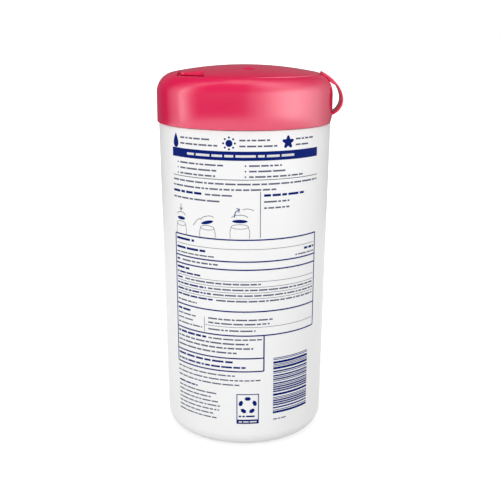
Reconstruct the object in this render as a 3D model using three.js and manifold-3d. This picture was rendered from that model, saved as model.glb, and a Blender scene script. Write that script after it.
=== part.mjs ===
// Round canister of wet wipes: a tapered white canister, a snap-on cap with a star-shaped
// dispensing hole, a flip lid on a looped strap hinge, and the roll of wipes inside.
// Millimetres, +Z up. Every piece is drawn about the canister's own axis.
import * as THREE from "three";
import { mergeVertices } from "three/addons/utils/BufferGeometryUtils.js";
import Module from "manifold-3d";

const wasm = await Module();
wasm.setup();

// Canister
const shoulderHeight = 146;
const shoulderRadius = 39.2;
const bodyTaper = 2.2;
const heelFillet = 7;
const shoulderFillet = 0.5;
const canisterWall = 1;
const standingRing = 3;
const pushUpHeight = 2.4;
const pushUpSlope = 3;
const neckStep = 1.6;
const neckBead = 0.6;
const neckBeadHeight = 2.4;
const neckBeadAbove = 7.2;
const neckHeight = 18.2;

// Cap
const capWall = 1.2;
const neckHeadroom = 0.7;
const skirtBead = 0.4;
const skirtBeadHeight = 1.8;
const skirtBeadAbove = 4.3;
const snapClearance = 0.2;
const seatGap = 0.3;
const plugClearance = 0.5;
const capFillet = 6.5;
const domeRadius = 178;
const edgeFillet = 0.35;
const wellFloorAbove = 2.9;
const ledgeAbove = 5.5;
const bossRadius = 14.8;
const bossRise = 3;
const orificeThroat = 3.7;
const orificeReach = 6.8;
const orificePoints = 8;
const strapChannelDepth = 0.6;
const strapNotchHeight = 2.9;
const strapNotchTopWidth = 13;
const strapNotchWidth = 29;

// Flip lid
const lidWall = 1.2;
const lidGap = 0.5;
const lidDraft = 0.5;
const lidSeat = 0.3;
const sealClearance = 0.4;
const sealWall = 1;
const sealMargin = 0.8;
const tongueLength = 11.6;
const tongueRootWidth = 38;
const tongueTipWidth = 30;
const tongueFillet = 4;
const dimpleRadius = 3.3;
const dimpleDepth = 0.6;
const dimplePlace = new THREE.Vector2(1.7, -19);

// Strap hinge
const strapWidth = 12;
const strapEndThickness = 0.6;
const strapThickness = 1.1;
const strapSideGap = 0.3;
const strapLeaveAngle = THREE.MathUtils.degToRad(55);
const strapPull = 7;
const strapBulge = new THREE.Vector2(7.5, 8.2);
const strapFootHeight = 3.6;
const strapFootDepth = 0.9;

// Roll of wipes
const rollClearance = 2.4;
const rollHeadroom = 15.5;
const rollCoreRadius = 5.5;
const rollFillet = 1.2;

// Fineness of the facets
const turnSteps = 64;
const facetSag = 0.045;

// Levels and radii that follow from the driving dimensions
const baseRadius = shoulderRadius - bodyTaper;
const pushUpRadius = baseRadius - heelFillet - standingRing - pushUpSlope;
const neckTop = shoulderHeight + neckHeight;
const neckOuterRadius = shoulderRadius - neckStep;
const neckInnerRadius = neckOuterRadius - canisterWall;
const skirtInnerRadius = neckOuterRadius + neckBead + snapClearance + skirtBead;
const capRadius = skirtInnerRadius + capWall;
const wellRadius = neckInnerRadius - plugClearance - capWall;
const lidRadius = wellRadius - lidGap;
const filletCentre = capRadius - capFillet;
const shoulderOverNeck = Math.sqrt((capFillet - capWall) ** 2 - (neckOuterRadius - filletCentre) ** 2);
const skirtBottom = shoulderHeight + seatGap;
const skirtTop = neckTop + neckHeadroom - shoulderOverNeck;
const wellFloor = skirtTop + wellFloorAbove;
const deckUnderside = wellFloor - capWall;
const ledgeTop = skirtTop + ledgeAbove;
const lidBottom = wellFloor + lidSeat;
const sealInner = bossRadius + sealClearance;
const ledgeFront = sealInner + sealWall + sealMargin;
const domeCentre = skirtTop - Math.sqrt((domeRadius - capFillet) ** 2 - filletCentre ** 2);
const domeEdgeAngle = Math.acos(filletCentre / (domeRadius - capFillet));
const rollRadius = Math.min(baseRadius - canisterWall, neckInnerRadius) - rollClearance;
const rollBottom = pushUpHeight + canisterWall + seatGap;
const rollTop = deckUnderside - rollHeadroom;

// Larger than the whole object, for cuts that run right through it
const far = 400;

// Turns a closed geometry into a solid that can be joined and cut
function solid(geometry) {
  const bare = geometry.clone();
  bare.deleteAttribute("normal");
  bare.deleteAttribute("uv");
  const merged = mergeVertices(bare, 1e-4);
  const corners = merged.index.array;
  const triVerts = [];
  for (let i = 0; i < corners.length; i += 3) {
    const [a, b, c] = corners.slice(i, i + 3);
    if (a !== b && b !== c && c !== a) triVerts.push(a, b, c);
  }
  return new wasm.Manifold(new wasm.Mesh({
    numProp: 3,
    vertProperties: new Float32Array(merged.attributes.position.array),
    triVerts: new Uint32Array(triVerts),
  }));
}

// Turns a solid back into a geometry that can be shown
function geometryOf(manifold) {
  const mesh = manifold.getMesh();
  const geometry = new THREE.BufferGeometry();
  geometry.setAttribute("position", new THREE.BufferAttribute(mesh.vertProperties, 3));
  geometry.setIndex(new THREE.BufferAttribute(mesh.triVerts, 1));
  geometry.computeVertexNormals();
  return geometry;
}

// Points of an outline given by its corners [x, y, fillet radius]
function rounded(corners) {
  const points = [];
  corners.forEach(([x, y, radius = 0], i) => {
    const corner = new THREE.Vector2(x, y);
    if (radius === 0) {
      points.push(corner);
      return;
    }
    const [bx, by] = corners.at(i - 1);
    const [ax, ay] = corners[(i + 1) % corners.length];
    const before = new THREE.Vector2(bx, by).sub(corner).normalize();
    const after = new THREE.Vector2(ax, ay).sub(corner).normalize();
    const half = Math.acos(before.dot(after)) / 2;
    const centre = before.clone().add(after).setLength(radius / Math.sin(half)).add(corner);
    const start = corner.clone().addScaledVector(before, radius / Math.tan(half)).sub(centre);
    const sweep = (Math.PI - 2 * half) * Math.sign(after.cross(before));
    const steps = Math.ceil(Math.abs(sweep) / (2 * Math.acos(1 - facetSag / radius)));
    for (let k = 0; k <= steps; k += 1) {
      points.push(start.clone().rotateAround(new THREE.Vector2(), sweep * k / steps).add(centre));
    }
  });
  return points;
}

// A solid turned about the +Z axis from a profile of (radius, height) points
function turned(points) {
  const onAxis = points[0].x === 0 && points.at(-1).x === 0;
  const profile = onAxis ? points : [...points, points[0]];
  return solid(new THREE.LatheGeometry(profile, turnSteps).rotateX(Math.PI / 2));
}

function cylinder(radius, zMin, zMax) {
  return turned(rounded([[0, zMin], [radius, zMin], [radius, zMax], [0, zMax]]));
}

function block(xMin, xMax, yMin, yMax, zMin, zMax) {
  const geometry = new THREE.BoxGeometry(xMax - xMin, yMax - yMin, zMax - zMin);
  geometry.translate((xMin + xMax) / 2, (yMin + yMax) / 2, (zMin + zMax) / 2);
  return solid(geometry);
}

// A plan outline raised from one height to another
function raised(points, zMin, zMax) {
  const geometry = new THREE.ExtrudeGeometry(new THREE.Shape(points), {
    depth: zMax - zMin,
    bevelEnabled: false,
  });
  return solid(geometry.translate(0, 0, zMin));
}

// An outline in the XZ plane, made as wide as asked and centred on y = 0
function acrossY(points, width) {
  const geometry = new THREE.ExtrudeGeometry(new THREE.Shape(points), {
    depth: width,
    bevelEnabled: false,
  });
  geometry.rotateX(Math.PI / 2);
  return solid(geometry.translate(0, width / 2, 0));
}

// The cap's outer form: straight skirt, rounded shoulder and shallow dome, drawn inset below
// the real surface, from the given bottom height up to the axis
function capForm(inset, bottom) {
  const path = new THREE.Path();
  path.moveTo(0, bottom);
  path.lineTo(capRadius - inset, bottom);
  path.lineTo(capRadius - inset, skirtTop);
  path.absarc(filletCentre, skirtTop, capFillet - inset, 0, domeEdgeAngle);
  path.absarc(0, domeCentre, domeRadius - inset, domeEdgeAngle, Math.PI / 2);
  return path.getPoints(4).map((point) => (point.x < 1e-6 ? new THREE.Vector2(0, point.y) : point));
}

function buildCanister() {
  const beadBottom = shoulderHeight + neckBeadAbove;
  const beadPeak = neckOuterRadius + neckBead;
  const base = pushUpHeight + canisterWall;
  const innerShoulder = shoulderHeight - canisterWall;
  const profile = rounded([
    [0, pushUpHeight],
    [pushUpRadius, pushUpHeight, 2],
    [pushUpRadius + pushUpSlope, 0, 1.5],
    [baseRadius, 0, heelFillet],
    [shoulderRadius, shoulderHeight, shoulderFillet],
    [neckOuterRadius, shoulderHeight],
    [neckOuterRadius, beadBottom],
    [beadPeak, beadBottom + neckBeadHeight / 3],
    [neckOuterRadius, beadBottom + neckBeadHeight],
    [neckOuterRadius, neckTop, 0.35],
    [neckInnerRadius, neckTop],
    [neckInnerRadius, innerShoulder],
    [shoulderRadius - canisterWall, innerShoulder - neckStep],
    [baseRadius - canisterWall, canisterWall, heelFillet - canisterWall],
    [pushUpRadius + pushUpSlope, canisterWall, 1],
    [pushUpRadius, base, 2],
    [0, base],
  ]);
  return turned(profile);
}

function buildCap() {
  const ledgeUnderside = ledgeTop - capWall;
  const beadBottom = skirtBottom + skirtBeadAbove;
  const bossTop = wellFloor + bossRise;

  // The well that the lid closes, sunk in a hollow shell that the ledge cuts flat in front
  const well = cylinder(wellRadius, wellFloor, far)
    .intersect(block(-ledgeFront - lidGap, far, -far, far, 0, far));
  const wellWall = cylinder(wellRadius + capWall, deckUnderside, far)
    .intersect(block(-ledgeFront - lidGap - capWall, far, -far, far, 0, far));
  const ledgeCut = block(-far, -ledgeFront - lidGap, -far, far, ledgeTop, far);
  const hollow = turned(rounded([
    [0, 0],
    [skirtInnerRadius, 0],
    [skirtInnerRadius, beadBottom],
    [skirtInnerRadius - skirtBead, beadBottom + skirtBeadHeight / 2, 0.3],
    [skirtInnerRadius, beadBottom + skirtBeadHeight],
    [skirtInnerRadius, far],
    [0, far],
  ]))
    .intersect(turned(capForm(capWall, 0)))
    .intersect(cylinder(far, 0, ledgeUnderside))
    .subtract(wellWall);

  // The dispensing hole is a star, so that the plastic between its points grips the wipe
  const boss = turned(rounded([
    [0, deckUnderside],
    [bossRadius, deckUnderside],
    [bossRadius, bossTop, 0.6],
    [0, bossTop],
  ]));
  const star = [];
  for (let k = 0; k < 2 * orificePoints; k += 1) {
    const radius = k % 2 === 0 ? orificeReach : orificeThroat;
    const angle = Math.PI * k / orificePoints;
    star.push(new THREE.Vector2(radius * Math.cos(angle), radius * Math.sin(angle)));
  }

  // Where the strap crosses the shoulder, and where its foot stands on the skirt
  const channelSide = strapWidth / 2 + strapSideGap;
  const channel = block(wellRadius - 1, far, -channelSide, channelSide, skirtTop, far)
    .subtract(turned(capForm(strapChannelDepth, 0)));
  const notch = raised(rounded([
    [-1, -strapNotchWidth / 2],
    [strapNotchHeight, -strapNotchTopWidth / 2, 2],
    [strapNotchHeight, strapNotchTopWidth / 2, 2],
    [-1, strapNotchWidth / 2],
  ]), -far, 0)
    .rotate([0, -90, 0])
    .translate([0, 0, skirtBottom]);

  return turned(capForm(0, skirtBottom))
    .subtract(hollow)
    .subtract(well)
    .subtract(ledgeCut)
    .add(boss)
    .subtract(cylinder(bossRadius - capWall, 0, bossTop - capWall))
    .subtract(raised(star, 0, far))
    .subtract(channel)
    .subtract(notch);
}

// Plan outline of the tongue that the thumb lifts, drawn inset by a wall
function tongueOutline(inset, rootX) {
  const tip = -ledgeFront - tongueLength + inset;
  const rootSide = tongueRootWidth / 2 - inset;
  const tipSide = tongueTipWidth / 2 - inset;
  return rounded([
    [tip, -tipSide, tongueFillet - inset],
    [rootX, -rootSide],
    [rootX, rootSide],
    [tip, tipSide, tongueFillet - inset],
  ]);
}

function buildLid() {
  const front = -ledgeFront;
  const tongueBottom = ledgeTop + lidSeat;
  const disc = turned(rounded([
    [0, lidBottom],
    [lidRadius - lidDraft, lidBottom, edgeFillet],
    [lidRadius, ledgeTop],
    [lidRadius, far],
    [0, far],
  ])).intersect(block(front, far, -far, far, 0, far));
  const tongue = raised(tongueOutline(0, front + lidWall / 2), tongueBottom, far);
  const underside = turned(capForm(lidWall, 0));
  const inside = cylinder(lidRadius - lidDraft - lidWall, 0, far)
    .intersect(block(front + lidWall, far, -far, far, 0, far))
    .add(raised(tongueOutline(lidWall, front), 0, far))
    .intersect(underside);

  // Sealing ring that closes round the boss
  const seal = cylinder(sealInner + sealWall, lidBottom, far)
    .subtract(cylinder(sealInner, 0, far))
    .intersect(turned(capForm(lidWall / 2, 0)));

  const dimpleSphere = (dimpleRadius ** 2 + dimpleDepth ** 2) / (2 * dimpleDepth);
  const surface = domeCentre + Math.sqrt(domeRadius ** 2 - dimplePlace.lengthSq());
  const dimple = solid(new THREE.SphereGeometry(dimpleSphere, 36, 36).rotateX(Math.PI / 2)
    .translate(dimplePlace.x, dimplePlace.y, surface + dimpleSphere - dimpleDepth));

  return disc
    .add(tongue)
    .intersect(turned(capForm(0, lidBottom)))
    .subtract(inside)
    .add(seal)
    .subtract(dimple);
}

function buildStrap() {
  // Along the shoulder from the lid's edge, then out in a loop and back to the skirt
  const centreline = new THREE.CurvePath();
  const leave = new THREE.Vector2(Math.cos(strapLeaveAngle), Math.sin(strapLeaveAngle))
    .multiplyScalar(capFillet)
    .add(new THREE.Vector2(filletCentre, skirtTop));
  const away = new THREE.Vector2(Math.sin(strapLeaveAngle), -Math.cos(strapLeaveAngle));
  const footHeight = skirtBottom + strapFootHeight - strapFootDepth / 2;
  const foot = new THREE.Vector2(capRadius - strapFootDepth, footHeight);
  centreline.add(new THREE.EllipseCurve(
    filletCentre, skirtTop, capFillet, capFillet, domeEdgeAngle, strapLeaveAngle, true));
  centreline.add(new THREE.CubicBezierCurve(
    leave,
    leave.clone().addScaledVector(away, strapPull),
    new THREE.Vector2(capRadius, skirtBottom).add(strapBulge),
    foot,
  ));
  const steps = 24;
  const outside = [];
  const inside = [];
  for (let k = 0; k <= steps; k += 1) {
    const share = k / steps;
    const point = centreline.getPoint(share);
    const before = centreline.getPoint(Math.max(0, share - 0.01));
    const after = centreline.getPoint(Math.min(1, share + 0.01));
    const along = after.clone().sub(before).normalize();
    const swell = Math.sin(Math.PI * THREE.MathUtils.smoothstep(share, 0.1, 1.2)) ** 2;
    const half = (strapEndThickness + (strapThickness - strapEndThickness) * swell) / 2;
    outside.push(point.clone().add(new THREE.Vector2(-along.y, along.x).multiplyScalar(half)));
    inside.push(point.clone().add(new THREE.Vector2(along.y, -along.x).multiplyScalar(half)));
  }
  return acrossY([...outside, ...inside.reverse()].reverse(), strapWidth)
    .subtract(cylinder(lidRadius + seatGap, 0, far))
    .subtract(cylinder(capRadius + seatGap, 0, skirtTop - capFillet));
}

function buildRoll() {
  return turned(rounded([
    [rollCoreRadius, rollBottom, rollFillet],
    [rollRadius, rollBottom, rollFillet],
    [rollRadius, rollTop, rollFillet],
    [rollCoreRadius, rollTop, rollFillet],
  ]));
}

// Materials, one for each piece
function material(color, roughness) {
  return new THREE.MeshStandardMaterial({ color, roughness, metalness: 0 });
}
const whitePlastic = () => material(0xf4f4f2, 0.38);
const pinkPlastic = () => material(0xe22456, 0.25);
const wetFabric = () => material(0xf3f3ee, 0.85);

const pieces = [
  ["canister", buildCanister(), whitePlastic()],
  ["cap", buildCap(), pinkPlastic()],
  ["flip_lid", buildLid(), pinkPlastic()],
  ["hinge_strap", buildStrap(), pinkPlastic()],
  ["wipes_roll", buildRoll(), wetFabric()],
];

const canisterOfWipes = new THREE.Group();
for (const [name, shape, finish] of pieces) {
  const mesh = new THREE.Mesh(geometryOf(shape), finish);
  mesh.name = name;
  canisterOfWipes.add(mesh);
}

// The origin is the middle of the whole footprint, so the strap's bulge shifts the axis a little
const footprint = new THREE.Box3().setFromObject(canisterOfWipes);
canisterOfWipes.position.x = -(footprint.min.x + footprint.max.x) / 2;

export default canisterOfWipes;
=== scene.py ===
# Studio picture of a canister of wet wipes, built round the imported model.
# Blender works in metres. The sizes below are millimetres about the canister's own axis.
import math
import random

import bmesh
import bpy
from mathutils import Matrix, Vector


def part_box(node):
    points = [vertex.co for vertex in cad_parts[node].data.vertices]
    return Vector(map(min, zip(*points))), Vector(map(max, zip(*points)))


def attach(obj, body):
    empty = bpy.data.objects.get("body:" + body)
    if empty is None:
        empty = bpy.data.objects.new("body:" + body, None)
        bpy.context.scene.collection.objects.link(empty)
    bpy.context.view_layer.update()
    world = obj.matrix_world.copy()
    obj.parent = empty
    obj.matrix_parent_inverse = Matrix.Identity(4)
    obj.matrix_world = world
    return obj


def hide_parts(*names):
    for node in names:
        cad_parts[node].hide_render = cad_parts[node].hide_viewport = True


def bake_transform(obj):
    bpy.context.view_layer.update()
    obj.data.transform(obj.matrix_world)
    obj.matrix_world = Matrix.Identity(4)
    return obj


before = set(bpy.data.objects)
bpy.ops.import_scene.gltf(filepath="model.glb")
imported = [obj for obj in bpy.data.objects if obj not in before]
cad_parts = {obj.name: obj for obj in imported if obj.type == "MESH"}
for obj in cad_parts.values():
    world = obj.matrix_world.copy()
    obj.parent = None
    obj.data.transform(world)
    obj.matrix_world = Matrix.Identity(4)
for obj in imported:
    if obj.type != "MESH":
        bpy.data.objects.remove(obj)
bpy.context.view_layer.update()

MM = 0.001
canister_low, canister_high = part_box("canister")
AXIS_X = (canister_low.x + canister_high.x) / 2 / MM
FAR = 400

# Canister
SHOULDER_HEIGHT = 146
SHOULDER_RADIUS = 39.2
BASE_RADIUS = 37
HEEL_FILLET = 7
CANISTER_WALL = 1
PUSH_UP_HEIGHT = 2.4
PUSH_UP_RADIUS = 24
PUSH_UP_SLOPE = 3
NECK_OUTER_RADIUS = 37.6
NECK_INNER_RADIUS = 36.6
NECK_TOP = 162.7
NECK_BEAD = 0.6
NECK_BEAD_BOTTOM = 153.2
NECK_BEAD_HEIGHT = 2.4

# Cap
CAP_RADIUS = 40
CAP_WALL = 1.2
CAP_FILLET = 9
SKIRT_BOTTOM = 146.3
SKIRT_TOP = 159.243
SKIRT_INNER_RADIUS = 38.8
SKIRT_BEAD = 0.4
SKIRT_BEAD_BOTTOM = 150.6
SKIRT_BEAD_HEIGHT = 1.8
DOME_RADIUS = 165
WELL_RADIUS = 34.9
WELL_FLOOR = 164.443
LEDGE_TOP = 167.043
LEDGE_FRONT = 17
PLUG_DEPTH = 1
LID_GAP = 0.5
BOSS_RADIUS = 14.8
BOSS_RISE = 3
STAR_THROAT = 3.7
STAR_REACH = 6.8
STAR_POINTS = 8
STRAP_CHANNEL_DEPTH = 0.6
STRAP_SIDE_GAP = 0.3
STRAP_NOTCH_HEIGHT = 2.9
STRAP_NOTCH_TOP_WIDTH = 13
STRAP_NOTCH_WIDTH = 29

# Flip lid
LID_RADIUS = 34.4
LID_WALL = 1.2
LID_DRAFT = 0.5
LID_BOTTOM = 164.743
LID_SEAT = 0.3
SEAL_INNER_RADIUS = 15.2
SEAL_WALL = 1
TONGUE_LENGTH = 11.6
TONGUE_ROOT_WIDTH = 38
TONGUE_TIP_WIDTH = 30
TONGUE_FILLET = 4
TONGUE_GAP = 0.9
DIMPLE_RADIUS = 3.3
DIMPLE_DEPTH = 0.6
DIMPLE_PLACE = (1.7, -19)

# Strap hinge
STRAP_WIDTH = 12
STRAP_END_THICKNESS = 0.6
STRAP_THICKNESS = 1.1
STRAP_LEAVE_ANGLE = math.radians(72)
STRAP_LIFT = 0.6
STRAP_PULL = 8.2
STRAP_BULGE = (9.2, 7.6)
STRAP_FOOT = (39.1, 149.45)
STRAP_START = 0.03
STRAP_ROOT_SINK = 0.3
STRAP_ROOT_END = 0.36
STRAP_ROOT_FADE = 0.14

# Roll of wipes
ROLL_RADIUS = 33.6
ROLL_CORE_RADIUS = 5.5
ROLL_FILLET = 1.2
ROLL_BOTTOM = 3.7
ROLL_TOP = 147.7
ROLL_TURN = 0.62

# What reflections see round the canister: azimuth from the camera's side and radiance
SURROUND = (
    (-180, 0.17), (-150, 0.15), (-116, 0), (-99, 0.9), (-90, 3), (-83, 2.8), (-70, 0.8),
    (-59, 0.1),
    (-2, 0.1), (6, 0.6), (22, 1.6), (34, 2.9), (54, 4.3), (66, 4.3), (90, 2.65), (118, 0.85),
    (145, 0.25),
)
SURROUND_GLOW = 5

# Fineness of round surfaces
TURN_STEPS = 256
FACET_SAG = 0.004

FILLET_CENTRE = CAP_RADIUS - CAP_FILLET
DOME_CENTRE = SKIRT_TOP - math.sqrt((DOME_RADIUS - CAP_FILLET) ** 2 - FILLET_CENTRE ** 2)
DOME_EDGE_ANGLE = math.acos(FILLET_CENTRE / (DOME_RADIUS - CAP_FILLET))


# Outlines and solids

def rounded(corners):
    """Points of an outline given by its corners (x, y, fillet radius)."""
    points = []
    for i, (x, y, radius) in enumerate(corners):
        corner = Vector((x, y))
        if radius == 0:
            points.append((x, y))
            continue
        before = (Vector(corners[i - 1][:2]) - corner).normalized()
        after = (Vector(corners[(i + 1) % len(corners)][:2]) - corner).normalized()
        half = math.acos(before.dot(after)) / 2
        centre = corner + (before + after).normalized() * radius / math.sin(half)
        start = corner + before * radius / math.tan(half) - centre
        turn = after.x * before.y - after.y * before.x
        sweep = math.copysign(math.pi - 2 * half, turn)
        steps = math.ceil(abs(sweep) / (2 * math.acos(1 - FACET_SAG / radius)))
        for k in range(steps + 1):
            place = centre + Matrix.Rotation(sweep * k / steps, 2) @ start
            points.append((place.x, place.y))
    return points


def mesh_object(name, points, faces):
    """An object whose points are in millimetres about the canister's axis."""
    mesh = bpy.data.meshes.new(name)
    mesh.from_pydata([((x + AXIS_X) * MM, y * MM, z * MM) for x, y, z in points], [], faces)
    work = bmesh.new()
    work.from_mesh(mesh)
    bmesh.ops.recalc_face_normals(work, faces=work.faces)
    work.to_mesh(mesh)
    work.free()
    obj = bpy.data.objects.new(name, mesh)
    bpy.context.scene.collection.objects.link(obj)
    return obj


def turned(name, profile, steps=TURN_STEPS):
    """A solid turned about the axis from (radius, height) points, which are a closed loop or a
    line from axis to axis."""
    points = []
    rings = []
    faces = []
    for radius, height in profile:
        if radius < 1e-6:
            rings.append([len(points)] * steps)
            points.append((0, 0, height))
            continue
        rings.append(range(len(points), len(points) + steps))
        for k in range(steps):
            angle = 2 * math.pi * k / steps
            points.append((radius * math.cos(angle), radius * math.sin(angle), height))
    closed = profile[0][0] > 1e-6
    for a, b in zip(rings, [*rings[1:], *(rings[:1] if closed else [])]):
        for k in range(steps):
            n = (k + 1) % steps
            corners = dict.fromkeys((a[k], a[n], b[n], b[k]))
            if len(corners) > 2:
                faces.append(tuple(corners))
    return mesh_object(name, points, faces)


def cylinder(radius, low, high):
    return turned("cylinder", [(0, low), (radius, low), (radius, high), (0, high)])


def prism(outline, low, high):
    """A plan outline raised from one height to another."""
    count = len(outline)
    points = [(x, y, low) for x, y in outline] + [(x, y, high) for x, y in outline]
    sides = [(k, (k + 1) % count, (k + 1) % count + count, k + count) for k in range(count)]
    return mesh_object("prism", points, [tuple(range(count)), tuple(range(count, 2 * count)), *sides])


def block(x_low, x_high, y_low, y_high, z_low, z_high):
    return prism([(x_low, y_low), (x_high, y_low), (x_high, y_high), (x_low, y_high)], z_low, z_high)


def baked(obj):
    """Puts the object's modifiers into its mesh."""
    depsgraph = bpy.context.evaluated_depsgraph_get()
    mesh = bpy.data.meshes.new_from_object(obj.evaluated_get(depsgraph))
    plain = obj.data
    obj.modifiers.clear()
    obj.data = mesh
    bpy.data.meshes.remove(plain)
    return obj


def combined(obj, operation, *others):
    for other in others:
        modifier = obj.modifiers.new("combine", "BOOLEAN")
        modifier.operation = operation
        modifier.solver = "MANIFOLD"
        modifier.object = other
    baked(obj)
    for other in others:
        bpy.data.objects.remove(other)
    return obj


def joined(obj, *others):
    return combined(obj, "UNION", *others)


def cut(obj, *others):
    return combined(obj, "DIFFERENCE", *others)


def within(obj, *others):
    return combined(obj, "INTERSECT", *others)


def eased(obj, width):
    """Rounds the object's sharp edges a little, as moulded plastic has them."""
    work = bmesh.new()
    work.from_mesh(obj.data)
    bmesh.ops.remove_doubles(work, verts=work.verts, dist=0.02 * MM)
    bmesh.ops.dissolve_limit(
        work, angle_limit=math.radians(0.05), verts=work.verts, edges=work.edges)
    work.to_mesh(obj.data)
    work.free()
    modifier = obj.modifiers.new("edges", "BEVEL")
    modifier.width = width * MM
    modifier.segments = 2
    modifier.limit_method = "ANGLE"
    modifier.angle_limit = math.radians(32)
    return baked(obj)


def smooth(obj, angle=30):
    obj.data.shade_smooth()
    obj.data.set_sharp_from_angle(angle=math.radians(angle))
    return obj


def cap_form(inset, bottom):
    """The cap's outer form: straight skirt, rounded shoulder and shallow dome."""
    profile = [(0, bottom), (CAP_RADIUS - inset, bottom)]
    fillet = CAP_FILLET - inset
    steps = 24
    for k in range(steps + 1):
        angle = DOME_EDGE_ANGLE * k / steps
        radius = FILLET_CENTRE + fillet * math.cos(angle)
        profile.append((radius, SKIRT_TOP + fillet * math.sin(angle)))
    dome = DOME_RADIUS - inset
    for k in range(1, steps):
        angle = DOME_EDGE_ANGLE + (math.pi / 2 - DOME_EDGE_ANGLE) * k / steps
        profile.append((dome * math.cos(angle), DOME_CENTRE + dome * math.sin(angle)))
    profile.append((0, DOME_CENTRE + dome))
    return turned("form", profile)


# The pieces

def build_canister():
    base = PUSH_UP_HEIGHT + CANISTER_WALL
    inner_shoulder = SHOULDER_HEIGHT - CANISTER_WALL
    bead_peak = NECK_OUTER_RADIUS + NECK_BEAD
    return smooth(turned("canister_body_shell", rounded([
        (0, PUSH_UP_HEIGHT, 0),
        (PUSH_UP_RADIUS, PUSH_UP_HEIGHT, 2),
        (PUSH_UP_RADIUS + PUSH_UP_SLOPE, 0, 1.5),
        (BASE_RADIUS, 0, HEEL_FILLET),
        (SHOULDER_RADIUS, SHOULDER_HEIGHT, 0.5),
        (NECK_OUTER_RADIUS, SHOULDER_HEIGHT, 0.3),
        (NECK_OUTER_RADIUS, NECK_BEAD_BOTTOM, 0),
        (bead_peak, NECK_BEAD_BOTTOM + NECK_BEAD_HEIGHT / 3, 0.3),
        (NECK_OUTER_RADIUS, NECK_BEAD_BOTTOM + NECK_BEAD_HEIGHT, 0),
        (NECK_OUTER_RADIUS, NECK_TOP, 0.35),
        (NECK_INNER_RADIUS, NECK_TOP, 0.35),
        (NECK_INNER_RADIUS, inner_shoulder, 0.5),
        (SHOULDER_RADIUS - CANISTER_WALL, inner_shoulder - 1.6, 0.5),
        (BASE_RADIUS - CANISTER_WALL, CANISTER_WALL, HEEL_FILLET - CANISTER_WALL),
        (PUSH_UP_RADIUS + PUSH_UP_SLOPE, CANISTER_WALL, 1),
        (PUSH_UP_RADIUS, base, 2),
        (0, base, 0),
    ])))


def build_cap():
    deck_underside = WELL_FLOOR - CAP_WALL
    ledge_underside = LEDGE_TOP - CAP_WALL
    boss_top = WELL_FLOOR + BOSS_RISE
    ledge_back = -LEDGE_FRONT - LID_GAP
    ledge_end = -LEDGE_FRONT - TONGUE_LENGTH - TONGUE_GAP
    well = within(
        cylinder(WELL_RADIUS, WELL_FLOOR, FAR), block(ledge_back, FAR, -FAR, FAR, 0, FAR))
    well_wall = within(
        cylinder(WELL_RADIUS + CAP_WALL, deck_underside, FAR),
        block(ledge_back - CAP_WALL, FAR, -FAR, FAR, 0, FAR))
    plug = cut(
        cylinder(WELL_RADIUS + CAP_WALL, NECK_TOP - PLUG_DEPTH, FAR),
        cylinder(WELL_RADIUS, 0, 2 * FAR))
    bead_middle = SKIRT_BEAD_BOTTOM + SKIRT_BEAD_HEIGHT / 2
    hollow = turned("hollow", rounded([
        (0, 0, 0),
        (SKIRT_INNER_RADIUS, 0, 0),
        (SKIRT_INNER_RADIUS, SKIRT_BEAD_BOTTOM, 0),
        (SKIRT_INNER_RADIUS - SKIRT_BEAD, bead_middle, 0.3),
        (SKIRT_INNER_RADIUS, SKIRT_BEAD_BOTTOM + SKIRT_BEAD_HEIGHT, 0),
        (SKIRT_INNER_RADIUS, FAR, 0),
        (0, FAR, 0),
    ]))
    within(hollow, cap_form(CAP_WALL, 0))
    cut(hollow, well_wall)
    cut(hollow, block(ledge_end - CAP_WALL, ledge_back, -FAR, FAR, ledge_underside, FAR))
    cut(hollow, plug)
    boss = turned("boss", rounded([
        (0, deck_underside, 0),
        (BOSS_RADIUS, deck_underside, 0),
        (BOSS_RADIUS, boss_top, 0.6),
        (0, boss_top, 0),
    ]))
    star = []
    for k in range(2 * STAR_POINTS):
        radius = STAR_THROAT if k % 2 else STAR_REACH
        angle = math.pi * k / STAR_POINTS
        star.append((radius * math.cos(angle), radius * math.sin(angle)))
    channel_side = STRAP_WIDTH / 2 + STRAP_SIDE_GAP
    channel = cut(
        block(WELL_RADIUS - 1, FAR, -channel_side, channel_side, SKIRT_TOP, FAR),
        cap_form(STRAP_CHANNEL_DEPTH, 0))

    cap = cap_form(0, SKIRT_BOTTOM)
    cut(cap, hollow)
    cut(cap, well)
    cut(cap, block(ledge_end, ledge_back, -FAR, FAR, LEDGE_TOP, FAR))
    joined(cap, boss)
    cut(cap, cylinder(BOSS_RADIUS - CAP_WALL, 0, boss_top - CAP_WALL))
    cut(cap, prism(star, 0, FAR))
    cut(cap, channel)
    cut(cap, strap_notch())
    cap.name = "cap_moulding"
    return smooth(eased(cap, 0.25))


def strap_notch():
    """The cut in the skirt's lower edge under the strap's foot."""
    outline = rounded([
        (-STRAP_NOTCH_WIDTH / 2, -1, 0),
        (-STRAP_NOTCH_TOP_WIDTH / 2, STRAP_NOTCH_HEIGHT, 2),
        (STRAP_NOTCH_TOP_WIDTH / 2, STRAP_NOTCH_HEIGHT, 2),
        (STRAP_NOTCH_WIDTH / 2, -1, 0),
    ])
    count = len(outline)
    points = [(0, y, SKIRT_BOTTOM + z) for y, z in outline]
    points += [(FAR, y, SKIRT_BOTTOM + z) for y, z in outline]
    sides = [(k, (k + 1) % count, (k + 1) % count + count, k + count) for k in range(count)]
    return mesh_object("notch", points, [tuple(range(count)), tuple(range(count, 2 * count)), *sides])


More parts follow.
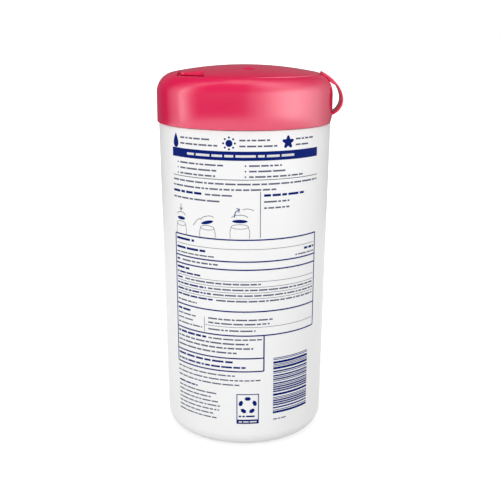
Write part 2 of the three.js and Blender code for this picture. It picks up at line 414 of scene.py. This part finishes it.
def tongue_outline(inset, root_x):
    """Plan outline of the tongue that the thumb lifts, drawn inset by a wall."""
    tip = -LEDGE_FRONT - TONGUE_LENGTH + inset
    root_side = TONGUE_ROOT_WIDTH / 2 - inset
    tip_side = TONGUE_TIP_WIDTH / 2 - inset
    return rounded([
        (tip, -tip_side, TONGUE_FILLET - inset),
        (root_x, -root_side, 0),
        (root_x, root_side, 0),
        (tip, tip_side, TONGUE_FILLET - inset),
    ])


def build_lid():
    front = -LEDGE_FRONT
    disc = turned("lid_moulding", [
        (0, LID_BOTTOM),
        (LID_RADIUS - LID_DRAFT, LID_BOTTOM),
        (LID_RADIUS, LEDGE_TOP),
        (LID_RADIUS, FAR),
        (0, FAR),
    ])
    within(disc, block(front, FAR, -FAR, FAR, 0, FAR))
    joined(disc, prism(tongue_outline(0, front + LID_WALL / 2), LEDGE_TOP + LID_SEAT, FAR))
    within(disc, cap_form(0, LID_BOTTOM))
    inside = cylinder(LID_RADIUS - LID_DRAFT - LID_WALL, 0, FAR)
    within(inside, block(front + LID_WALL, FAR, -FAR, FAR, 0, FAR))
    joined(inside, prism(tongue_outline(LID_WALL, front), 0, FAR))
    within(inside, cap_form(LID_WALL, 0))
    cut(disc, inside)
    seal = cylinder(SEAL_INNER_RADIUS + SEAL_WALL, LID_BOTTOM, FAR)
    cut(seal, cylinder(SEAL_INNER_RADIUS, 0, 2 * FAR))
    within(seal, cap_form(LID_WALL / 2, 0))
    joined(disc, seal)
    sphere = (DIMPLE_RADIUS ** 2 + DIMPLE_DEPTH ** 2) / (2 * DIMPLE_DEPTH)
    surface = DOME_CENTRE + math.sqrt(DOME_RADIUS ** 2 - Vector(DIMPLE_PLACE).length_squared)
    steps = 96
    profile = [(0, -sphere)]
    for k in range(1, steps):
        angle = math.pi * k / steps
        profile.append((sphere * math.sin(angle), -sphere * math.cos(angle)))
    dimple = turned("dimple", [*profile, (0, sphere)], steps)
    place = (DIMPLE_PLACE[0], DIMPLE_PLACE[1], surface + sphere - DIMPLE_DEPTH)
    dimple.data.transform(Matrix.Translation(Vector(place) * MM))
    cut(disc, dimple)
    return smooth(eased(disc, 0.25))


def strap_centreline(share):
    """A point (x, z) of the strap, from the lid's edge at 0 to the skirt at 1."""
    leave = Vector((
        FILLET_CENTRE + (CAP_FILLET + STRAP_LIFT) * math.cos(STRAP_LEAVE_ANGLE),
        SKIRT_TOP + (CAP_FILLET + STRAP_LIFT) * math.sin(STRAP_LEAVE_ANGLE)))
    t = STRAP_START + (1 - STRAP_START) * share
    away = Vector((math.sin(STRAP_LEAVE_ANGLE), -math.cos(STRAP_LEAVE_ANGLE)))
    pulled = leave + away * STRAP_PULL
    bulge = Vector((CAP_RADIUS + STRAP_BULGE[0], SKIRT_BOTTOM + STRAP_BULGE[1]))
    foot = Vector(STRAP_FOOT)
    s = 1 - t
    return s ** 3 * leave + 3 * s * s * t * pulled + 3 * s * t * t * bulge + t ** 3 * foot


def build_strap():
    """The band of the hinge, whose root fills down into its channel in the cap."""
    steps = 72
    corner_steps = 4
    points = []
    ring_size = 0
    for k in range(steps + 1):
        share = k / steps
        middle = strap_centreline(share)
        along = strap_centreline(min(1, share + 0.004)) - strap_centreline(max(0, share - 0.004))
        along.normalize()
        normal = Vector((-along.y, along.x))
        swell = math.sin(math.pi * min(1, max(0, (share - 0.12) / 1.1))) ** 2
        half = (STRAP_END_THICKNESS + (STRAP_THICKNESS - STRAP_END_THICKNESS) * swell) / 2
        fillet = half * 0.8
        reach = (middle - Vector((FILLET_CENTRE, SKIRT_TOP))).length
        above = reach - CAP_FILLET + STRAP_ROOT_SINK - half
        root = max(0, above) * min(1, max(0, (STRAP_ROOT_END - share) / STRAP_ROOT_FADE))
        ring = []
        for side, face in ((1, 1), (-1, 1), (-1, -1), (1, -1)):
            for j in range(corner_steps + 1):
                share_of_turn = j / corner_steps if side * face > 0 else 1 - j / corner_steps
                angle = share_of_turn * math.pi / 2
                across = side * (STRAP_WIDTH / 2 - fillet + fillet * math.cos(angle))
                out = face * (half - fillet + fillet * math.sin(angle)) - (root if face < 0 else 0)
                place = middle + normal * out
                ring.append((place.x, across, place.y))
        ring_size = len(ring)
        points += ring
    faces = [tuple(range(ring_size)), tuple(range(steps * ring_size, (steps + 1) * ring_size))]
    for k in range(steps):
        for j in range(ring_size):
            n = (j + 1) % ring_size
            a = k * ring_size
            b = a + ring_size
            faces.append((a + j, a + n, b + n, b + j))
    return smooth(mesh_object("strap_band", points, faces), 40)


def build_roll():
    """The roll of wipes: one band wound on itself, whose edges show as a spiral on its top end."""
    random.seed(7)
    steps = 160
    wobble = [random.uniform(0, 2 * math.pi) for _ in range(6)]
    radial = 112
    points = []
    rings = []

    def ripple(radius, angle):
        turn = ((radius / ROLL_TURN + angle / (2 * math.pi)) % 1 - 0.5) * 2
        slow = sum(math.sin((n + 2) * angle + wobble[n] + radius / (3 + n)) for n in range(6)) / 6
        return -0.35 * turn * turn + 0.25 * slow

    def ring(radius, height, rough):
        rings.append(range(len(points), len(points) + steps))
        for k in range(steps):
            angle = 2 * math.pi * k / steps
            lift = rough * ripple(radius, angle)
            points.append((radius * math.cos(angle), radius * math.sin(angle), height + lift))

    span = ROLL_RADIUS - ROLL_CORE_RADIUS - 2 * ROLL_FILLET
    for k in range(radial + 1):
        ring(ROLL_CORE_RADIUS + ROLL_FILLET + span * k / radial, ROLL_TOP - 0.6, 1)
    for k in range(1, 7):
        angle = math.pi / 2 * (1 - k / 6)
        ring(
            ROLL_RADIUS - ROLL_FILLET + ROLL_FILLET * math.cos(angle),
            ROLL_TOP - 0.6 - ROLL_FILLET + ROLL_FILLET * math.sin(angle), 1 - k / 6)
    for k in range(7):
        angle = math.pi / 2 * k / 6
        ring(
            ROLL_RADIUS - ROLL_FILLET + ROLL_FILLET * math.cos(angle),
            ROLL_BOTTOM + ROLL_FILLET - ROLL_FILLET * math.sin(angle), 0)
    ring(ROLL_CORE_RADIUS + ROLL_FILLET, ROLL_BOTTOM, 0)
    ring(ROLL_CORE_RADIUS, ROLL_BOTTOM + ROLL_FILLET, 0)
    ring(ROLL_CORE_RADIUS, ROLL_TOP - 0.6 - ROLL_FILLET, 0)
    faces = []
    for a, b in zip(rings, [*rings[1:], rings[0]]):
        for k in range(steps):
            n = (k + 1) % steps
            faces.append((a[k], a[n], b[n], b[k]))
    return smooth(mesh_object("wound_wipes", points, faces), 50)


# Print on the back of the canister. A place is an arc length from the middle of the back and a
# height above the base. Lines of print are rows of plain bars, without lettering.

PRINT_LIFT = 0.05
INK_DEPTH = 0.08
WHITE_LIFT = 0.03


class Print:
    """Patches of one ink, closed and hugging the canister's wall."""

    def __init__(self, name):
        self.name = name
        self.points = []
        self.faces = []

    def on_wall(self, arc, height, lift):
        radius = BASE_RADIUS + (SHOULDER_RADIUS - BASE_RADIUS) * height / SHOULDER_HEIGHT
        angle = arc / radius
        reach = radius + lift
        return (reach * math.sin(angle), -reach * math.cos(angle), height)

    def patch(self, rows):
        """A closed sheet over a grid of (arc, height) places."""
        high, wide = len(rows), len(rows[0])
        start = len(self.points)
        for lift in (PRINT_LIFT, PRINT_LIFT - INK_DEPTH):
            for row in rows:
                self.points += [self.on_wall(arc, height, lift) for arc, height in row]
        back = high * wide

        def at(r, c):
            return start + r * wide + c

        for r in range(high - 1):
            for c in range(wide - 1):
                self.faces.append((at(r, c), at(r, c + 1), at(r + 1, c + 1), at(r + 1, c)))
                self.faces.append(tuple(back + i for i in (
                    at(r + 1, c), at(r + 1, c + 1), at(r, c + 1), at(r, c))))
        rim = [at(0, c) for c in range(wide)]
        rim += [at(r, wide - 1) for r in range(1, high)]
        rim += [at(high - 1, c) for c in range(wide - 2, -1, -1)]
        rim += [at(r, 0) for r in range(high - 2, 0, -1)]
        for a, b in zip(rim, rim[1:] + rim[:1]):
            self.faces.append((b, a, a + back, b + back))

    def field(self, left, right, low, high, step=1.5):
        count = max(1, math.ceil((right - left) / step))
        arcs = [left + (right - left) * k / count for k in range(count + 1)]
        self.patch([[(arc, height) for arc in arcs] for height in (low, high)])

    def rule(self, left, right, height, thickness=0.3):
        self.field(left, right, height - thickness / 2, height + thickness / 2)

    def upright(self, arc, low, high, thickness=0.3):
        self.field(arc - thickness / 2, arc + thickness / 2, low, high)

    def line(self, places, thickness=0.3):
        """A drawn line through places, as thick as asked."""
        ends = []
        for k, place in enumerate(places):
            before = Vector(places[max(0, k - 1)])
            after = Vector(places[min(len(places) - 1, k + 1)])
            along = (after - before).normalized()
            side = Vector((-along.y, along.x)) * thickness / 2
            ends.append((Vector(place) + side, Vector(place) - side))
        self.patch([[tuple(a) for a, _ in ends], [tuple(b) for _, b in ends]])

    def shape(self, middle, outline):
        """A filled outline, as a fan of rings about its middle."""
        rows = []
        for share in (0.02, 0.5, 1):
            rows.append([
                (middle[0] + (x - middle[0]) * share, middle[1] + (y - middle[1]) * share)
                for x, y in [*outline, outline[0]]])
        self.patch(rows)

    def bars(self, left, right, height, tall=1.15, heavy=0.3, seed=1):
        """A row of bars in place of a line of print, as dark as print of that height and weight."""
        pick = random.Random(seed * 1009 + round(height * 10))
        pitch = tall * 0.56
        thick = heavy * 2
        arc = left
        while arc < right - pitch:
            end = min(right, arc + pick.randint(2, 9) * pitch)
            self.field(arc, end, height - thick * tall / 2, height + thick * tall / 2)
            arc = end + pitch

    def raise_by(self, lift):
        """Moves the print outwards, where it lies on top of another ink."""
        for k, (x, y, z) in enumerate(self.points):
            grown = 1 + lift / math.hypot(x, y)
            self.points[k] = (x * grown, y * grown, z)

    def finish(self):
        return mesh_object(self.name, self.points, self.faces)


def oval(x, y, wide, high, count=24, turn=0.0):
    points = []
    for k in range(count):
        angle = 2 * math.pi * k / count
        a = wide / 2 * math.cos(angle)
        b = high / 2 * math.sin(angle)
        points.append((
            x + a * math.cos(turn) - b * math.sin(turn),
            y + a * math.sin(turn) + b * math.cos(turn)))
    return points


def drop(x, y, size):
    points = []
    for k in range(32):
        t = 2 * math.pi * k / 32
        across = 0.72 * math.sin(t) * math.sin(t / 2) ** 1.3
        points.append((x + size / 2 * across, y + size / 2 * math.cos(t)))
    return points


def pointed_flower(x, y, size):
    points = []
    for k in range(60):
        angle = 2 * math.pi * k / 60
        reach = size / 2 * (0.78 + 0.22 * math.cos(5 * angle))
        points.append((x + reach * math.sin(angle), y + reach * math.cos(angle)))
    return points


def print_icons(navy, grey):
    """A drop, a sun and a flower, each beside two short rows."""
    navy.shape((-33.6, 139.9), drop(-33.6, 140.6, 6.4))
    sun = (-6.4, 140.7)
    navy.shape(sun, oval(*sun, 3, 3))
    for k in range(8):
        angle = math.pi * k / 4
        place = (sun[0] + 2.5 * math.cos(angle), sun[1] + 2.5 * math.sin(angle))
        navy.shape(place, oval(*place, 0.9, 0.9, 8))
    navy.shape((19.4, 140.8), pointed_flower(19.4, 140.8, 5.8))
    for left, right, lower in ((-30.6, -14.5, -11.5), (-2, 11, 14.3), (23.3, 33.5, 30.5)):
        grey.bars(left, right, 142, seed=2)
        grey.bars(left, lower, 139.5, seed=3)


def print_banner(navy, white):
    navy.field(-36.1, 37, 133.4, 137.3)
    white.bars(-26.5, 22.5, 135.3, tall=1.7, heavy=0.3, seed=5)


def print_claims(navy, grey):
    for row in range(3):
        height = 131.2 - 2.35 * row
        for left, right in ((-32.4, (-8.6, -12, -12.5)[row]), (0.6, (16.5, 18.5, 27.5)[row])):
            navy.shape((left, height), oval(left, height, 0.7, 0.7, 8))
            grey.bars(left + 1.5, right, height, seed=row + 7)
    grey.rule(-35.9, 37.6, 125.2)
    grey.bars(-35.8, 37.2, 123.3, seed=11)
    grey.bars(-35.8, 14, 120.9, seed=12)


def print_directions(navy, grey):
    navy.bars(-35.8, -19, 118.4, tall=1.35, heavy=0.38, seed=13)
    grey.bars(-17.4, -5.2, 118.3, seed=14)
    grey.bars(-35.8, -9.6, 115.6, seed=15)
    grey.upright(7.05, 99.8, 120)
    navy.bars(8.6, 28.4, 118.4, tall=1.35, heavy=0.38, seed=16)
    grey.bars(8.6, 20.5, 115.6, seed=17)
    grey.bars(8.6, 20.5, 112.9, seed=18)


def print_pictures(navy, grey):
    """Three small pictograms of an open canister, each with another arrow."""
    for arc, base, wide, lean in ((-31, 98.6, 5.6, 0), (-16.5, 98.4, 6.6, 0.25), (-1.8, 99.6, 7.4, 0)):
        neck = base + 5.2
        navy.shape((arc, neck + 2.4), oval(arc, neck + 2.4, wide * 0.9, 1.5, 20, lean))
        grey.line([*oval(arc, neck, wide, 2, 20), (arc + wide / 2, neck)], 0.2)
        grey.line([*oval(arc, neck + 3.9, wide * 0.95, 2.6, 20, lean)[:11]], 0.25)
        for side in (-1, 1):
            grey.line([
                (arc + side * wide * 0.5, neck),
                (arc + side * wide * 0.58, neck - 2.4),
                (arc + side * wide * 0.56, base)], 0.2)
    grey.line([(-31, 109.8), (-31, 112.6)], 0.35)
    grey.line([(-31.9, 110.9), (-31, 109.6), (-30.1, 110.9)], 0.35)
    grey.line([(-23.6, 104), (-21.6, 106.6), (-19.8, 107.6)], 0.25)
    navy.line([(-4.2, 108.9), (-3.7, 111.2), (-2.2, 112.4)], 0.4)
    navy.line([(-3.2, 112.9), (-1.9, 112.6), (-2.3, 111.2)], 0.4)
    grey.line([(-0.6, 112.4), (1.6, 112.8), (4.4, 112)], 0.25)


def print_table(navy, grey):
    """The ruled box of small print."""
    left, right, narrow, heavy = -35.2, 37, 9.1, 0.6
    for height in (98.9, 89.1, 85.4, 66.2, 54.9):
        navy.rule(left, right, height, heavy)
    for height in (44.1, 37.8):
        navy.rule(left, narrow, height, heavy)
    navy.upright(left, 37.8, 98.9, heavy)
    navy.upright(right, 54.9, 98.9, heavy)
    navy.upright(narrow, 37.8, 54.9, heavy)
    for height in (94.7, 80.1, 77.5, 74.9, 72.3):
        grey.rule(left + 1, right - 1, height, 0.2)
    grey.rule(-18, right - 1, 58.9, 0.2)
    grey.upright(-18.4, 55.6, 62.6, 0.2)

    text = left + 0.9
    navy.bars(text, -23.4, 96.9, tall=1.7, heavy=0.3, seed=21)
    navy.bars(text, -17.6, 92.9, tall=1.3, heavy=0.38, seed=22)
    grey.bars(text, -13.4, 90.7, tall=0.95, seed=23)
    navy.bars(29.4, right - 0.9, 92.9, tall=1.3, heavy=0.38, seed=24)
    grey.bars(24.2, right - 0.9, 90.7, tall=0.95, seed=25)
    navy.bars(text, -31.6, 87.3, tall=1.1, heavy=0.38, seed=26)
    grey.bars(-30.6, -11.6, 87.3, seed=27)

    navy.bars(text, -26.4, 83.6, tall=1.25, heavy=0.38, seed=28)
    navy.bars(text, -20, 81.4, tall=1, heavy=0.38, seed=29)
    rows = ((78.8, -30, 7.5), (76.2, -17.4, 35.5), (73.6, -15, 36), (71, -13.5, 35.7))
    for height, bold, end in rows:
        navy.bars(text, bold, height, tall=1, heavy=0.38, seed=30)
        grey.bars(bold + 1, end, height, tall=1, heavy=0.34, seed=31)
    grey.bars(text, -22.4, 68.3, tall=1, heavy=0.34, seed=32)

    navy.bars(text, -25.4, 64.1, tall=1.2, heavy=0.38, seed=33)
    for height, end in ((61.9, -22), (59.7, -24), (57.4, -19.6)):
        grey.bars(text, end, height, tall=1, seed=34)
    for height, end in ((62.3, 13), (60.3, 11.6), (57.2, 5.2)):
        grey.bars(-16.4, end, height, tall=1.1, seed=35)

    navy.bars(text, -17.6, 53.1, tall=1.25, heavy=0.38, seed=36)
    grey.bars(-16.4, narrow - 1, 53, tall=1.05, seed=37)
    for height, end in ((50.9, 2), (48.8, 4.2), (46.6, -3.2)):
        grey.bars(text, end, height, tall=1.05, heavy=0.34, seed=38)
    navy.bars(text, -5, 42.2, tall=1.4, heavy=0.32, seed=39)
    navy.bars(text, 0.8, 39.7, tall=1.1, heavy=0.38, seed=40)


def print_foot(navy, grey):
    for height, end in ((35.6, -4), (33.4, 7.6), (31.2, -2)):
        grey.bars(-35, end, height, tall=1, seed=41)
    navy.bars(-34.6, -22.6, 28.4, tall=0.95, heavy=0.38, seed=42)
    for row, end in enumerate((-12.6, -14.8, -12, -11, -11.4, -14.4, -12.2)):
        grey.bars(-34.6, end, 26.2 - 2 * row, tall=1, seed=43 + row)


def print_mark(navy, white):
    """A framed square with a ring of lozenges over a plain band."""
    left, right, low, high = -3.3, 6.9, 12.2, 26.9
    for height in (low + 0.2, high - 0.2):
        navy.rule(left, right, height, 0.4)
    for arc in (left + 0.2, right - 0.2):
        navy.upright(arc, low, high, 0.4)
    navy.field(left, right, low, 14.3)
    middle = ((left + right) / 2, 21.3)
    for k in range(5):
        angle = math.pi / 2 + 2 * math.pi * k / 5
        place = (middle[0] + 3.3 * math.cos(angle), middle[1] + 3.3 * math.sin(angle))
        navy.shape(place, oval(*place, 3, 2, 6, angle + math.pi / 2))
    white.bars(left + 1, right - 1, 13.2, tall=0.9, heavy=0.34, seed=51)
    navy.bars(left + 1, right - 1, 15.9, tall=1, heavy=0.38, seed=52)


def print_stripes(navy, grey):
    """A block of level stripes of changing thickness."""
    pick = random.Random(4)
    height = 43.6
    while height > 17:
        thick = pick.choice((0.35, 0.35, 0.7, 1.05))
        navy.field(13.6, 33.2, height - thick, height)
        height -= thick + pick.choice((0.35, 0.35, 0.7))
    grey.bars(13.8, 20.6, 13.4, tall=0.9, seed=53)


def build_print():
    navy = Print("navy_print")
    grey = Print("grey_print")
    white = Print("white_print")
    print_icons(navy, grey)
    print_banner(navy, white)
    print_claims(navy, grey)
    print_directions(navy, grey)
    print_pictures(navy, grey)
    print_table(navy, grey)
    print_foot(navy, grey)
    print_mark(navy, white)
    print_stripes(navy, grey)
    white.raise_by(WHITE_LIFT)
    return navy.finish(), grey.finish(), white.finish()


# Materials

def new_material(name, color, roughness):
    material = bpy.data.materials.new(name)
    material.use_nodes = True
    shader = material.node_tree.nodes["Principled BSDF"]
    shader.inputs["Base Color"].default_value = (*color, 1)
    shader.inputs["Roughness"].default_value = roughness
    return material, material.node_tree, shader


def noise(tree, scale, detail=4):
    place = tree.nodes.new("ShaderNodeTexCoord")
    node = tree.nodes.new("ShaderNodeTexNoise")
    node.inputs["Scale"].default_value = scale
    node.inputs["Detail"].default_value = detail
    tree.links.new(place.outputs["Object"], node.inputs["Vector"])
    return node.outputs["Fac"]


def varied(tree, value, low, high, socket):
    spread = tree.nodes.new("ShaderNodeMapRange")
    spread.inputs["To Min"].default_value = low
    spread.inputs["To Max"].default_value = high
    tree.links.new(value, spread.inputs["Value"])
    tree.links.new(spread.outputs["Result"], socket)


def bumped(tree, shader, value, distance, strength=1.0):
    bump = tree.nodes.new("ShaderNodeBump")
    bump.inputs["Distance"].default_value = distance
    bump.inputs["Strength"].default_value = strength
    tree.links.new(value, bump.inputs["Height"])
    tree.links.new(bump.outputs["Normal"], shader.inputs["Normal"])


def tinted(tree, shader, value, dark, light):
    ramp = tree.nodes.new("ShaderNodeValToRGB")
    ramp.color_ramp.elements[0].position = 0.3
    ramp.color_ramp.elements[0].color = (*dark, 1)
    ramp.color_ramp.elements[1].position = 0.7
    ramp.color_ramp.elements[1].color = (*light, 1)
    tree.links.new(value, ramp.inputs["Fac"])
    tree.links.new(ramp.outputs["Color"], shader.inputs["Base Color"])


def cap_plastic():
    """Glossy injection-moulded plastic, with the faint flow and texture of a mould."""
    material, tree, shader = new_material("cap_plastic", (0.79, 0.006, 0.083), 0.2)
    shader.inputs["Specular IOR Level"].default_value = 1.0
    varied(tree, noise(tree, 90), 0.17, 0.24, shader.inputs["Roughness"])
    tinted(tree, shader, noise(tree, 35), (0.77, 0.005, 0.079), (0.81, 0.007, 0.087))
    bumped(tree, shader, noise(tree, 700, 2), 0.00002, 0.25)
    return material


def canister_plastic():
    """White blow-moulded plastic, slightly uneven and softly glossy."""
    material, tree, shader = new_material("canister_plastic", (0.92, 0.92, 0.92), 0.42)
    varied(tree, noise(tree, 60), 0.36, 0.48, shader.inputs["Roughness"])
    tinted(tree, shader, noise(tree, 25), (0.91, 0.912, 0.912), (0.93, 0.93, 0.928))
    bumped(tree, shader, noise(tree, 45, 3), 0.0004, 0.12)
    return material


def ink(name, color):
    material, tree, shader = new_material(name, color, 0.5)
    shader.inputs["Specular IOR Level"].default_value = 0.05
    shade = [c * 0.88 for c in color]
    varied(tree, noise(tree, 900), 0.42, 0.58, shader.inputs["Roughness"])
    tinted(tree, shader, noise(tree, 1200), shade, color)
    return material


def wipe_fabric():
    """Damp non-woven cloth: pressed fibres with small embossed dots."""
    material, tree, shader = new_material("wipe_fabric", (0.82, 0.82, 0.8), 0.72)
    shader.inputs["Sheen Weight"].default_value = 0.25
    varied(tree, noise(tree, 350), 0.6, 0.85, shader.inputs["Roughness"])
    tinted(tree, shader, noise(tree, 220), (0.76, 0.77, 0.76), (0.85, 0.85, 0.83))
    bumped(tree, shader, noise(tree, 1400, 5), 0.00025, 0.6)
    return material


def give(obj, material):
    obj.data.materials.clear()
    obj.data.materials.append(material)


# Camera, lamps and floor

def place_camera():
    data = bpy.data.cameras.new("camera")
    data.lens = 63.35
    data.sensor_width = 36
    data.sensor_fit = "HORIZONTAL"
    data.clip_start = 0.01
    camera = bpy.data.objects.new("camera", data)
    bpy.context.scene.collection.objects.link(camera)
    pitch = Matrix.Rotation(math.radians(90 - 14.53), 4, "X")
    roll = Matrix.Rotation(math.radians(0.197), 4, "Z")
    place = Matrix.Translation(Vector((AXIS_X + 2.6, -406.35, 189.95)) * MM)
    camera.matrix_world = place @ pitch @ roll
    bpy.context.scene.camera = camera


def around(azimuth, distance, height):
    """A place round the canister. Azimuth is in degrees from the camera's side to its right."""
    angle = math.radians(azimuth)
    return Vector((AXIS_X * MM + distance * math.sin(angle), -distance * math.cos(angle), height))


def softbox(name, first, last, radiance, low=0.0, high=1.0, distance=0.75):
    """An upright lamp panel between two azimuths, left out of reflections. A panel of radiance 1
    that filled the whole view of a white surface would show it white."""
    wide = 2 * distance * math.tan(math.radians(last - first) / 2)
    tall = high - low
    data = bpy.data.lights.new(name, "AREA")
    data.shape = "RECTANGLE"
    data.size = wide
    data.size_y = tall
    data.energy = 4 * wide * tall * radiance
    lamp = bpy.data.objects.new(name, data)
    bpy.context.scene.collection.objects.link(lamp)
    lamp.location = around((first + last) / 2, distance, (low + high) / 2)
    facing = Vector((AXIS_X * MM, 0, lamp.location.z)) - lamp.location
    lamp.rotation_euler = facing.to_track_quat("-Z", "Y").to_euler()
    lamp.visible_camera = False
    lamp.visible_glossy = False


def overhead(name, size, height, radiance):
    """A square lamp panel above the canister, left out of reflections."""
    data = bpy.data.lights.new(name, "AREA")
    data.shape = "SQUARE"
    data.size = size
    data.energy = 4 * size * size * radiance
    lamp = bpy.data.objects.new(name, data)
    bpy.context.scene.collection.objects.link(lamp)
    lamp.location = (AXIS_X * MM, 0, height)
    lamp.visible_camera = False
    lamp.visible_glossy = False


def place_surround():
    """A round wall that only reflections see. It is bright where a studio's soft lamps stand, to
    the left and right of the camera, and dark elsewhere."""
    steps = 72
    radius = 480
    points = []
    for k in range(steps):
        angle = 2 * math.pi * k / steps
        for height in (0, 2000):
            points.append((radius * math.cos(angle), radius * math.sin(angle), height))
    count = len(points)
    faces = [(k, k + 1, (k + 3) % count, (k + 2) % count) for k in range(0, count, 2)]
    wall = mesh_object("surround", points, faces)
    material, tree, shader = new_material("surround", (0, 0, 0), 1)
    shader.inputs["Specular IOR Level"].default_value = 0
    shader.inputs["Emission Color"].default_value = (1, 1, 1, 1)
    place = tree.nodes.new("ShaderNodeTexCoord")
    split = tree.nodes.new("ShaderNodeSeparateXYZ")
    tree.links.new(place.outputs["Object"], split.inputs["Vector"])
    turn = tree.nodes.new("ShaderNodeMath")
    turn.operation = "ARCTAN2"
    tree.links.new(split.outputs["Y"], turn.inputs[0])
    tree.links.new(split.outputs["X"], turn.inputs[1])
    share = tree.nodes.new("ShaderNodeMapRange")
    share.inputs["From Min"].default_value = -math.pi
    share.inputs["From Max"].default_value = math.pi
    tree.links.new(turn.outputs[0], share.inputs["Value"])
    ramp = tree.nodes.new("ShaderNodeValToRGB")
    stops = sorted(((azimuth + 90) % 360 / 360, glow / SURROUND_GLOW) for azimuth, glow in SURROUND)
    for _ in range(len(stops) - len(ramp.color_ramp.elements)):
        ramp.color_ramp.elements.new(1)
    for element, (position, level) in zip(ramp.color_ramp.elements, stops):
        element.position = position
        element.color = (level, level, level, 1)
    tree.links.new(share.outputs["Result"], ramp.inputs["Fac"])
    glow = tree.nodes.new("ShaderNodeMath")
    glow.operation = "MULTIPLY"
    glow.inputs[1].default_value = SURROUND_GLOW
    tree.links.new(ramp.outputs["Color"], glow.inputs[0])
    lamp_top = tree.nodes.new("ShaderNodeMapRange")
    lamp_top.inputs["From Min"].default_value = 0.3
    lamp_top.inputs["From Max"].default_value = 0.5
    lamp_top.inputs["To Min"].default_value = 1
    lamp_top.inputs["To Max"].default_value = 0.45
    tree.links.new(split.outputs["Z"], lamp_top.inputs["Value"])
    level = tree.nodes.new("ShaderNodeMath")
    level.operation = "MULTIPLY"
    tree.links.new(glow.outputs[0], level.inputs[0])
    tree.links.new(lamp_top.outputs["Result"], level.inputs[1])
    tree.links.new(level.outputs[0], shader.inputs["Emission Strength"])
    wall.data.materials.append(material)
    wall.visible_camera = False
    wall.visible_diffuse = False
    wall.visible_shadow = False
    wall.visible_transmission = False


def seen_directly(tree):
    """1 for what the camera sees itself, in a reflection or through glass."""
    path = tree.nodes.new("ShaderNodeLightPath")
    total = path.outputs["Is Camera Ray"]
    for other in ("Is Glossy Ray", "Is Transmission Ray"):
        larger = tree.nodes.new("ShaderNodeMath")
        larger.operation = "MAXIMUM"
        tree.links.new(total, larger.inputs[0])
        tree.links.new(path.outputs[other], larger.inputs[1])
        total = larger.outputs[0]
    return total


def light_world(fill):
    world = bpy.data.worlds.new("studio")
    bpy.context.scene.world = world
    world.use_nodes = True
    tree = world.node_tree
    background = tree.nodes["Background"]
    background.inputs["Color"].default_value = (1, 1, 1, 1)
    varied(tree, seen_directly(tree), fill, 1.0, background.inputs["Strength"])


def lay_floor():
    reach = 6000
    corners = [(-reach, -reach, 0), (reach, -reach, 0), (reach, reach, 0), (-reach, reach, 0)]
    floor = mesh_object("floor", corners, [(0, 1, 2, 3)])
    material, tree, shader = new_material("floor", (0.55, 0.55, 0.55), 0.9)
    shader.inputs["Specular IOR Level"].default_value = 0.1
    shader.inputs["Emission Color"].default_value = (1, 1, 1, 1)
    place = tree.nodes.new("ShaderNodeTexCoord")
    distance = tree.nodes.new("ShaderNodeVectorMath")
    distance.operation = "LENGTH"
    tree.links.new(place.outputs["Object"], distance.inputs[0])
    spread = tree.nodes.new("ShaderNodeMapRange")
    spread.inputs["From Min"].default_value = 0.06
    spread.inputs["From Max"].default_value = 0.3
    spread.inputs["To Min"].default_value = 0.6
    spread.inputs["To Max"].default_value = 1
    tree.links.new(distance.outputs["Value"], spread.inputs["Value"])
    shown = tree.nodes.new("ShaderNodeMath")
    shown.operation = "MULTIPLY"
    tree.links.new(spread.outputs["Result"], shown.inputs[0])
    tree.links.new(seen_directly(tree), shown.inputs[1])
    tree.links.new(shown.outputs[0], shader.inputs["Emission Strength"])
    floor.data.materials.append(material)


def light_studio():
    light_world(0.74)
    softbox("front_panel", -65, 30, 0.87, high=0.6)
    overhead("top_panel", 0.9, 1.1, 0.7)
    place_surround()


def main():
    bpy.context.scene.view_settings.view_transform = "Standard"
    place_camera()
    lay_floor()
    light_studio()

    canister = build_canister()
    cap = build_cap()
    lid = build_lid()
    strap = build_strap()
    roll = build_roll()
    navy, grey, white = build_print()

    white_plastic = canister_plastic()
    pink_plastic = cap_plastic()
    give(canister, white_plastic)
    give(cap, pink_plastic)
    give(lid, pink_plastic)
    give(strap, pink_plastic)
    give(roll, wipe_fabric())
    give(navy, ink("navy_ink", (0.001, 0.013, 0.17)))
    give(grey, ink("grey_ink", (0.12, 0.13, 0.2)))
    give(white, ink("white_ink", (0.8, 0.8, 0.82)))

    for piece in (canister, roll, navy, grey, white):
        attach(piece, "canister_body")
    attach(cap, "cap_body")
    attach(lid, "lid_body")
    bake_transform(strap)
    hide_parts("canister")
    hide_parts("cap")
    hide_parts("flip_lid")
    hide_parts("hinge_strap")
    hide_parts("wipes_roll")


main()
